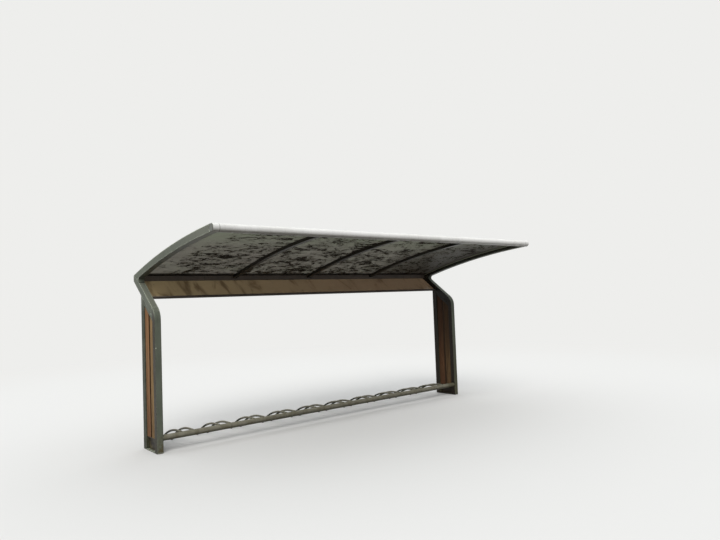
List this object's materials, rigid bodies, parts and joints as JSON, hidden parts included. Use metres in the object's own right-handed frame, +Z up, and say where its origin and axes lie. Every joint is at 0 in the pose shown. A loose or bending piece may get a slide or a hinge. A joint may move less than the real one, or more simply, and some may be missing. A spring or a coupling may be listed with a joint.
{
  "type": "cantilever bike shelter",
  "caption": "Open cantilever bike shelter with bent steel end frames, an arched translucent roof, a leaning fascia and a low wheel rack.",
  "frame": {"origin": "centre of the left base plate's underside", "axes": "+Z up, +X along the shelter to the right frame, -Y towards the open front"},
  "size_m": [4.49, 1.915, 2.141],
  "materials": {
    "frame_steel": "weathered warm grey paint, satin",
    "dark_steel": "dark grey-brown paint, satin",
    "tube_steel": "pale grey paint, satin, dirty underneath",
    "rack_steel": "worn grey paint",
    "timber": "reddish brown stain, weathered",
    "roof_sheet": "translucent grey sheet with leaf litter and dirt",
    "fascia_sheet": "glossy bronze-brown sheet"
  },
  "bodies": {
    "root": {"left_base_plate": "frame_steel", "left_front_post": "frame_steel", "left_rear_post": "frame_steel", "left_kick_plate": "dark_steel", "left_front_board": "timber", "left_rear_board": "timber", "left_gusset": "frame_steel", "left_lean_arm": "frame_steel", "left_roof_arm": "frame_steel", "left_tube_cap": "frame_steel", "right_base_plate": "frame_steel", "right_front_post": "frame_steel", "right_rear_post": "frame_steel", "right_kick_plate": "dark_steel", "right_front_board": "timber", "right_rear_board": "timber", "right_gusset": "frame_steel", "right_lean_arm": "frame_steel", "right_roof_arm": "frame_steel", "right_tube_cap": "frame_steel", "front_tube": "tube_steel", "valley_beam": "dark_steel", "fascia_panel": "fascia_sheet", "fascia_rail": "dark_steel", "rack_rail": "rack_steel", "rafter_1": "dark_steel", "rafter_2": "dark_steel", "rafter_3": "dark_steel", "roof_panel_1": "roof_sheet", "roof_panel_2": "roof_sheet", "roof_panel_3": "roof_sheet", "roof_panel_4": "roof_sheet", "rack_hoop_1": "rack_steel", "rack_hoop_2": "rack_steel", "rack_hoop_3": "rack_steel", "rack_hoop_4": "rack_steel", "rack_hoop_5": "rack_steel", "rack_hoop_6": "rack_steel", "rack_hoop_7": "rack_steel", "rack_hoop_8": "rack_steel", "rack_hoop_9": "rack_steel", "rack_hoop_10": "rack_steel"}
  },
  "joints": []
}
